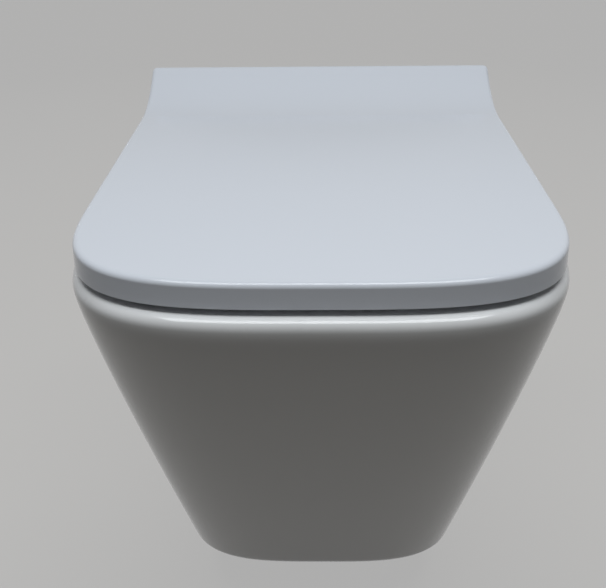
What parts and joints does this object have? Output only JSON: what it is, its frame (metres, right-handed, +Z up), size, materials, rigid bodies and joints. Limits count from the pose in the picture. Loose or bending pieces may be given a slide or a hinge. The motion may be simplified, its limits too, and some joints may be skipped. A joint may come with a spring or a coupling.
{
  "type": "wall hung toilet",
  "caption": "Wall hung toilet: tapered ceramic pan with squared front, rimless bowl, P-trap outlet, soft closing seat and wrap-over lid swept up at the back.",
  "frame": {"origin": "on the wall face, midway between the two wall studs that carry the pan", "axes": "+X to the right seen from the front, +Y into the wall, +Z up"},
  "size_m": [0.366, 0.548, 0.4034],
  "materials": {
    "ceramic": "glossy white glaze",
    "seat_plastic": "polished white thermoset",
    "moulded_white": "glossy white moulding",
    "black_rubber": "matt black rubber",
    "buffer_rubber": "soft translucent grey rubber",
    "bracket_steel": "dark coated cast bracket",
    "zinc_steel": "bright zinc plate",
    "stainless": "turned stainless steel",
    "brass": "turned brass",
    "nylon": "natural nylon",
    "hinge_metal": "polished chrome plate",
    "damper_plastic": "grey moulded cartridge",
    "button_plastic": "light grey button"
  },
  "bodies": {
    "pan": {"pan": "ceramic", "flush_spreader": "moulded_white", "inlet_seal": "black_rubber", "wall_bracket_left": "bracket_steel", "wall_bracket_right": "bracket_steel", "stud_washers": "zinc_steel", "stud_nuts": "zinc_steel", "lock_bushes": "nylon", "lock_screws": "zinc_steel", "side_caps": "moulded_white", "hinge_gaskets": "black_rubber", "hinge_plates": "stainless", "hinge_bolts": "stainless", "hinge_anchors": "black_rubber", "anchor_nuts": "brass", "hinge_body_left": "hinge_metal", "hinge_body_right": "hinge_metal", "lid_damper": "damper_plastic", "seat_damper": "damper_plastic"},
    "seat": {"seat_ring": "seat_plastic", "seat_buffers": "buffer_rubber", "seat_bush": "nylon", "seat_damper_shaft": "stainless"},
    "lid": {"lid": "seat_plastic", "lid_buffers": "buffer_rubber", "lid_bush": "nylon", "lid_damper_shaft": "stainless"},
    "button_left": {"release_button_left": "button_plastic"},
    "button_right": {"release_button_right": "button_plastic"}
  },
  "joints": [
    {"name": "seat_hinge", "type": "hinge", "parent": "pan", "child": "seat", "pos_m": [0, -0.057, 0.1085], "axis": [-1, 0, 0], "range_deg": [0, 95]},
    {"name": "lid_hinge", "type": "hinge", "parent": "seat", "child": "lid", "pos_m": [0, -0.057, 0.1085], "axis": [-1, 0, 0], "range_deg": [0, 95]},
    {"name": "left_button_press", "type": "slide", "parent": "pan", "child": "button_left", "axis": [0, 0, -1], "range_m": [0, 0.0024], "stiffness_N_per_m": 600, "springref_m": -0.001},
    {"name": "right_button_press", "type": "slide", "parent": "pan", "child": "button_right", "axis": [0, 0, -1], "range_m": [0, 0.0024], "stiffness_N_per_m": 600, "springref_m": -0.001}
  ]
}
